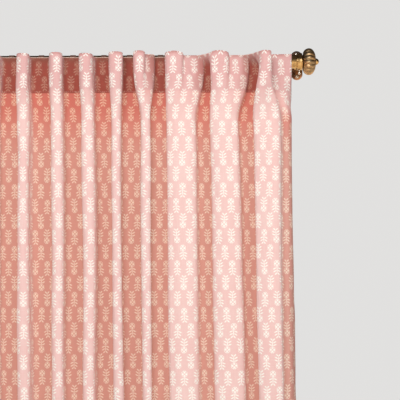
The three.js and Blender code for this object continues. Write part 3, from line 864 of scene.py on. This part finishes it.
def melon_profile():
    """The melon's outline in even steps."""
    keys = np.array(MELON_OUTLINE, float)
    way = np.concatenate([[0], np.cumsum(np.hypot(*np.diff(keys, axis=0).T))])
    at = np.linspace(0, way[-1], MELON_RINGS)
    return [(np.interp(a, way, keys[:, 0]), np.interp(a, way, keys[:, 1])) for a in at]


def melon(name):
    """A ribbed round finial: lobes with dark grooves between them."""
    around = MELON_LOBES * LOBE_POINTS
    profile = melon_profile()
    strength = np.interp([r for _, r in profile], (11, 15, 25), (0, 0.5, 1))
    angles = np.arange(around) * 2 * math.pi / around
    lobe = np.abs(np.sin(MELON_LOBES / 2 * angles))
    swell = lobe**0.75
    rings = []
    for (along, radius), strong in zip(profile, strength):
        r = radius * (1 - GROOVE_DEPTH * strong * (1 - swell))
        x = np.full(around, MELON_START + along)
        rings.append(np.stack([x, r * np.cos(angles), r * np.sin(angles)], 1))
    made = object_from(name, np.concatenate(rings), turned_over(capped_faces(len(profile), around)))
    groove = made.data.attributes.new("groove", "FLOAT", "POINT")
    depth = np.concatenate([(1 - lobe) ** 3 * strong for strong in strength])
    groove.data.foreach_set("value", depth.astype(np.float32))
    return made


def finial(side, x, turn, materials):
    """The collar, melon and tip at one end of the rod."""
    near, far = GAP, GAP + COLLAR_LENGTH
    collar = [(near, 2), (near, COLLAR_RADIUS - 0.8), (near + 0.9, COLLAR_RADIUS)]
    collar += [(far - 0.9, COLLAR_RADIUS), (far, COLLAR_RADIUS - 0.8), (far, 2)]
    collar = rounded(collar, 0.5)
    start = MELON_START + MELON_LENGTH + GAP
    ball = [(start, 1.5), (start, TIP_RADIUS - 0.3), (start + 0.3, TIP_RADIUS)]
    for degrees in range(8, 90, 8):
        a = math.radians(degrees)
        ball.append((start + TIP_RADIUS * math.sin(a), TIP_RADIUS * math.cos(a)))
    pieces = [
        (lathe(f"collar_{side}", collar, 72), "collar", "dark_brass", f"finial_collar_{side}"),
        (melon(f"melon_{side}"), "melon", "brass", f"finial_melon_{side}"),
        (lathe(f"tip_{side}", ball, 48), "brass", "brass", f"finial_tip_{side}"),
    ]
    for piece, look, slot, node in pieces:
        put(piece, x, ROD_Y, ROD_Z, turn)
        finish_piece(piece, materials[look], slot, node)


def racetrack(inset, depth, steps=20):
    """A ring of points round the wall plate, in from its outline, at a distance from the wall."""
    radius = PLATE_WIDTH / 2 - inset
    reach = PLATE_HEIGHT / 2 - PLATE_WIDTH / 2
    ring = []
    for middle, start in ((reach, 0), (-reach, 180)):
        for k in range(steps + 1):
            a = math.radians(start + 180 * k / steps)
            ring.append((radius * math.cos(a), -depth, middle + radius * math.sin(a)))
    return ring


# The plate's edge and its raised rim: how far in from the outline, and how far below the front face.
PLATE_STEPS = [(0, PLATE_THICKNESS), (0, 2.6), (0.25, 1.8), (0.8, 1.0), (1.6, 0.4), (2.6, 0.05), (3.4, 0)]
PLATE_STEPS += [(4.4, 0.15), (4.8, 0.5), (5.2, 0.55), (5.6, 0.2), (6, 0), (8, 0)]


def wall_plate(side, x, materials):
    """A stepped plate with round ends, its back on the wall."""
    rings = [racetrack(inset, PLATE_THICKNESS - below_face) for inset, below_face in PLATE_STEPS]
    faces = turned_over(capped_faces(len(rings), len(rings[0])))
    made = object_from(f"plate_{side}", np.concatenate(rings), faces)
    finish_piece(put(made, x, 0, 0), materials["dark_brass"], "dark_brass", f"wall_plate_{side}")


def bracket_arm(side, x, materials):
    """The ring round the rod and the arm to the wall plate, one casting."""
    inner = ROD_RADIUS + GAP
    outer = ROD_RADIUS + GAP + RING_WALL
    half = RING_WIDTH / 2
    rim = [(half, inner + 0.2), (half, outer - 0.5), (half - 1.4, outer - 0.1), (half - 2.0, outer - 0.7)]
    outline = rounded([(-along, radius) for along, radius in rim] + rim[::-1], 0.5)
    around = 96
    ring = turned_points(outline, around)
    faces = ring_faces(len(outline), around)
    last = (len(outline) - 1) * around
    faces += [[last + i, last + (i + 1) % around, (i + 1) % around, i] for i in range(around)]
    arm_start = PLATE_THICKNESS + GAP
    arm_end = -ROD_Y - ROD_RADIUS - GAP - RING_WALL / 2
    arm = [(arm_start, 1), (arm_start, FOOT_RADIUS), (arm_start + 1.4, FOOT_RADIUS)]
    arm += [(arm_start + 2.6, FOOT_RADIUS - 1), (arm_start + 4.5, ARM_RADIUS), (arm_end - 4, ARM_RADIUS)]
    arm += [(arm_end, ARM_RADIUS + 0.8), (arm_end, 1)]
    arm = rounded(arm, 0.7)
    arm_around = 48
    points = turned_points(arm, arm_around)
    points = np.stack([points[:, 1], -points[:, 0], points[:, 2]], 1)
    first = len(ring)
    faces += capped_faces(len(arm), arm_around, first)
    ring[:, 1] += ROD_Y
    ring[:, 2] += ROD_Z
    points[:, 2] += ROD_Z
    made = object_from(f"arm_{side}", np.concatenate([ring, points]), turned_over(faces))
    finish_piece(put(made, x, 0, 0), materials["brass"], "brass", f"bracket_arm_{side}")


# The thumb screw's knob: along from its middle, and the share of its full radius.
THUMB_OUTLINE = [(-2.3, 0.65), (-1.9, 0.85), (-1.2, 0.97), (-0.6, 1)]
THUMB_OUTLINE += [(0.6, 1), (1.2, 0.95), (2, 0.72), (2.6, 0.4)]


def screws(side, x, materials):
    """Two domed wall screws and the thumb screw under the ring."""
    for where, way in (("upper", 1), ("lower", -1)):
        dome = [(0, 1), (0, SCREW_HEAD_RADIUS), (0.4, SCREW_HEAD_RADIUS)]
        for degrees in range(15, 76, 15):
            a = math.radians(degrees)
            dome.append((0.4 + (SCREW_HEAD_HEIGHT - 0.4) * math.sin(a), SCREW_HEAD_RADIUS * math.cos(a)))
        dome += [(SCREW_HEAD_HEIGHT - 0.1, 0.9), (SCREW_HEAD_HEIGHT - 0.9, 0.5)]
        head = lathe(f"screw_{where}_{side}", dome, 32)
        put(head, x, -(PLATE_THICKNESS + GAP), way * SCREW_FROM_CENTRE, TO_FRONT)
        finish_piece(head, materials["screw_steel"], "screw_steel", f"wall_screw_{where}_{side}")
    knob = THUMB_LENGTH - THUMB_KNOB
    profile = [(0, 1), (0, THUMB_NECK)]
    for k in range(4):
        profile.append((0.4 + k * 0.6, THUMB_NECK - (0 if k % 2 else 0.25)))
    for along, share in THUMB_OUTLINE:
        profile.append((knob + along, THUMB_KNOB * share))

    def knurl(angles, along):
        held = 1.0 if abs(along - knob) < 1.3 else 0.0
        return 1 - 0.04 * held * (1 + np.cos(angles * 18)) / 2

    thumb = lathe(f"thumb_{side}", profile, 90, knurl)
    put(thumb, x, ROD_Y, ROD_Z - ROD_RADIUS - GAP - RING_WALL - GAP, TO_BELOW)
    finish_piece(thumb, materials["screw_steel"], "screw_steel", f"thumb_screw_{side}")


TAB_THICK = 0.8
TAB_ROUND = 0.3


def tab_path():
    """The middle of a back tab in the YZ plane about the rod axis: sewn to the header under its top edge,
    over the rod, round behind it and back to the header."""
    sewn = -(HEADER_BACK - GAP) + TAB_THICK / 2
    radius = ROD_RADIUS + 0.2 + TAB_THICK / 2
    path = [(sewn, -TAB_UPPER_END), (sewn, -4), (sewn, -0.5)]
    for degrees in range(TAB_BEND[0], TAB_BEND[1] - 1, -8):
        a = math.radians(degrees)
        path.append((radius * math.cos(a), radius * math.sin(a)))
    path += [(-2, -17.6), (sewn * 0.55, -21.5), (sewn + 1.0, TAB_SEWN - TAB_FOOT + 2)]
    path += [(sewn, TAB_SEWN - TAB_FOOT), (sewn, -TAB_FOOT + 6), (sewn, -TAB_FOOT)]
    return np.array(path, float)


def back_tab(number, x, material):
    """A strip of tape that leads from the header's back round the rod."""
    path = tab_path()
    way = np.gradient(path, axis=0)
    way /= np.linalg.norm(way, axis=1)[:, None]
    normal = np.stack([way[:, 1], -way[:, 0]], 1)
    half, thick = TAB_WIDTH / 2, TAB_THICK / 2
    around = [(-half, -thick + TAB_ROUND), (-half, thick - TAB_ROUND), (-half + TAB_ROUND, thick)]
    around += [(-half / 3, thick + 0.05), (half / 3, thick - 0.05), (half - TAB_ROUND, thick)]
    around += [(half, thick - TAB_ROUND), (half, -thick + TAB_ROUND), (half - TAB_ROUND, -thick)]
    around += [(half / 3, -thick), (-half / 3, -thick), (-half + TAB_ROUND, -thick)]
    along = np.concatenate([[0], np.cumsum(np.linalg.norm(np.diff(path, axis=0), axis=1))])
    points, flat = [], []
    for (y, z), (ny, nz), a in zip(path, normal, along):
        for across, off in around:
            wobble = 0.3 * math.sin(a / 7 + number)
            points.append((x + across + wobble, ROD_Y + y + ny * off, ROD_Z + z + nz * off))
            flat.append((number * 37.0 + across, number * 61.0 - a))
    faces = capped_faces(len(path), len(around))
    made = object_from(f"back_tab_{number:02d}", points, faces, {"cloth": np.array(flat) * MM})
    finish_piece(made, material, "tape", f"tab_{number:02d}")


STITCH_LENGTH = 2.6
STITCH_STEP = 3.6
STITCH_RADIUS = 0.22
SEAM_INSET = 2.5


def stitches(name, lines, material):
    """Small stitches along lines of points on the cloth, each a thin six-sided spindle."""
    points, faces = [], []
    sides = 6
    for line in lines:
        way = np.concatenate([[0], np.cumsum(np.linalg.norm(np.diff(line, axis=0), axis=1))])
        for start in np.arange(1.0, way[-1] - STITCH_LENGTH, STITCH_STEP):
            ends = start + np.array([0, 0.25, 0.75, 1]) * STITCH_LENGTH
            middle = np.stack([np.interp(ends, way, line[:, k]) for k in range(3)], 1)
            along = middle[-1] - middle[0]
            along /= np.linalg.norm(along)
            side = np.cross(along, (0.3, -0.9, 0.2))
            side /= np.linalg.norm(side)
            up = np.cross(side, along)
            first = len(points)
            for place, radius in zip(middle, (0.06, STITCH_RADIUS, STITCH_RADIUS, 0.06)):
                for k in range(sides):
                    a = 2 * math.pi * k / sides
                    points.append(place + radius * (math.cos(a) * side + math.sin(a) * up))
            faces += capped_faces(4, sides, first)
    made = object_from(name, points, faces)
    finish_piece(made, material, "cotton")
    return made


def sewing(material):
    """The rows of stitches that hold the header, the bottom hem and the side hems, front and back."""
    s = np.linspace(1, CLOTH_WIDTH - 1, 1300)
    front_and_back = (FRONT_OFF + 0.1, TURN_OFF - 0.1)
    header = [cloth_line(s, HEADER_DEPTH - SEAM_INSET, off) for off in front_and_back]
    hem = [cloth_line(s, DROP - HEM_DEPTH + SEAM_INSET, off) for off in front_and_back]
    heights = np.linspace(HEADER_DEPTH + 2, DROP - HEM_DEPTH - 2, 420)
    at = np.array([SIDE_HEM - SEAM_INSET, CLOTH_WIDTH - SIDE_HEM + SEAM_INSET])
    fronts = np.array([cloth_line(at, t, FRONT_OFF + 0.1) for t in heights])
    backs = np.array([cloth_line(at, t, HEM_OFF - 0.1) for t in heights])
    sides = [fronts[:, 0], fronts[:, 1], backs[:, 0], backs[:, 1]]
    return [
        stitches("header_stitches", header, material),
        stitches("hem_stitches", hem, material),
        stitches("side_stitches", sides, material),
    ]


BACKDROP = (0.755, 0.748, 0.738, 1)
AMBIENT = (0.45, 0.448, 0.445, 1)
MIRRORED = [
    (0.0, (0.85, 0.66, 0.48, 1)),
    (0.12, (1.10, 0.90, 0.70, 1)),
    (0.36, (1.25, 1.03, 0.80, 1)),
    (0.46, (0.60, 0.48, 0.35, 1)),
    (0.54, (0.30, 0.23, 0.16, 1)),
    (0.62, (0.08, 0.06, 0.045, 1)),
    (0.9, (0.06, 0.05, 0.04, 1)),
    (1.0, (0.14, 0.12, 0.10, 1)),
]
LIGHT_COLUMNS = ("name", "at", "to", "size", "watts", "mirrored")
LIGHTS = [
    dict(zip(LIGHT_COLUMNS, row))
    for row in (
        ("key", (-0.55, -2.35, 0.45), (-0.25, -0.06, -0.35), 1.0, 36, True),
        ("fill", (1.5, -2.35, 0.2), (-0.25, -0.06, -0.35), 1.2, 17, False),
        ("back", (-0.5, 1.6, -0.5), (-0.35, 0.0, -0.7), 1.8, 12, False),
    )
]
FLOOR_MM = 6000


def studio():
    """A pale floor, soft lights and a pale grey surround."""
    low = cad_box[0].z - 0.03
    corners = [(x * FLOOR_MM, y * FLOOR_MM, 0) for x, y in ((-1, -1), (1, -1), (1, 1), (-1, 1))]
    floor = object_from("floor", corners, [[0, 1, 2, 3]])
    floor.data.transform(Matrix.Translation((0, 0, low)))
    g = material_graph("pale_floor")
    g.surface({"Base Color": (0.74, 0.74, 0.73, 1), "Roughness": 0.9})
    floor.data.materials.append(g.owner)
    floor.visible_glossy = False

    surround()
    for light in LIGHTS:
        data = bpy.data.lights.new(light["name"], "AREA")
        data.size = light["size"]
        data.energy = light["watts"]
        lamp = bpy.data.objects.new(light["name"], data)
        lamp.location = light["at"]
        lamp.visible_glossy = light["mirrored"]
        way = Vector(light["to"]) - Vector(light["at"])
        lamp.rotation_mode = "QUATERNION"
        lamp.rotation_quaternion = way.to_track_quat("-Z", "Y")
        bpy.context.scene.collection.objects.link(lamp)


def surround():
    """A pale grey surround. It lights the cloth softly, and metal mirrors a dark room over a warm floor."""
    world = bpy.data.worlds.new("studio")
    bpy.context.scene.world = world
    g = Graph(world)
    place = g.node("ShaderNodeTexCoord").outputs["Generated"]
    height = g.node("ShaderNodeSeparateXYZ", {0: place}).outputs[2]
    lift = g.node("ShaderNodeMapRange", {0: height, 1: -1.0}).outputs[0]
    ramp = g.node("ShaderNodeValToRGB", {0: lift})
    while len(ramp.color_ramp.elements) < len(MIRRORED):
        ramp.color_ramp.elements.new(0.5)
    for element, (at, colour) in zip(ramp.color_ramp.elements, MIRRORED):
        element.position = at
        element.color = colour
    rays = g.node("ShaderNodeLightPath").outputs
    lit = g.mix(rays["Is Glossy Ray"], AMBIENT, ramp.outputs[0])
    g.feed(g.tree.nodes["Background"].inputs["Color"], g.mix(rays["Is Camera Ray"], lit, BACKDROP))


def camera():
    """The photograph's camera: a little below the rod, left of the right bracket, tilted up and rolled."""
    data = bpy.data.cameras.new("camera")
    made = bpy.data.objects.new("camera", data)
    bpy.context.scene.collection.objects.link(made)
    middle = FRAME_PX / 2
    x = (middle - BRACKET_PX[0]) * MM_PER_PX
    fall = (middle - BRACKET_PX[1]) * MM_PER_PX + CAMERA_DISTANCE * math.tan(CAMERA_PITCH)
    place = Vector((x, ROD_Y - CAMERA_DISTANCE, ROD_Z - fall)) * MM
    focal_px = CAMERA_DISTANCE / MM_PER_PX * math.cos(CAMERA_PITCH)
    data.sensor_width = SENSOR_MM
    data.lens = focal_px / FRAME_PX * SENSOR_MM
    forward = Vector((0, math.cos(CAMERA_PITCH), math.sin(CAMERA_PITCH)))
    level = Vector((1, 0, 0))
    upright = Vector((0, -math.sin(CAMERA_PITCH), math.cos(CAMERA_PITCH)))
    right = level * math.cos(CAMERA_ROLL) - upright * math.sin(CAMERA_ROLL)
    up = level * math.sin(CAMERA_ROLL) + upright * math.cos(CAMERA_ROLL)
    turn = Matrix((right, up, -forward)).transposed().to_4x4()
    made.matrix_world = Matrix.Translation(place) @ turn
    bpy.context.scene.camera = made


def build():
    materials = {
        "cotton": cotton_material(),
        "tape": tape_material(),
        "thread": thread_material(),
        "brass": metal_material("antique_brass", (0.74, 0.50, 0.22, 1), (0.20, 0.12, 0.06, 1), 0.13, 0.02),
        "melon": metal_material("cast_brass", (0.66, 0.42, 0.21, 1), (0.20, 0.17, 0.11, 1), 0.34, 0.1, True),
        # The wall plate's upper part is painted darker as shade.
        "dark_brass": metal_material(
            "dark_brass", (0.56, 0.30, 0.17, 1), (0.10, 0.06, 0.04, 1), 0.36, 0.1, shade_above=0.008
        ),
        # The collar's near-black colour is painted shadow in the gap between the rod and the melon.
        "collar": metal_material("neck_shadow_brass", (0.14, 0.09, 0.05, 1), (0.05, 0.035, 0.025, 1), 0.4, 0.2),
        "screw_steel": metal_material("worn_steel", (0.66, 0.62, 0.56, 1), (0.25, 0.21, 0.17, 1), 0.24, 0.0),
    }
    rod(materials)
    end = (ROD_LENGTH - BRACKET_SPACING) / 2
    for side, x, turn, way in (("right", 0, Matrix(), 1), ("left", -BRACKET_SPACING, TO_LEFT, -1)):
        wall_plate(side, x, materials)
        bracket_arm(side, x, materials)
        screws(side, x, materials)
        finial(side, x + way * end, turn, materials)
    for i, valley in enumerate(VALLEYS):
        back_tab(i + 1, valley["x_top"], materials["tape"])
    cloth = curtain()
    finish_piece(cloth, materials["cotton"], "cotton", "curtain_panel")
    sewn = sewing(materials["thread"])


camera()
studio()
build()
bpy.context.scene.view_settings.view_transform = "Standard"
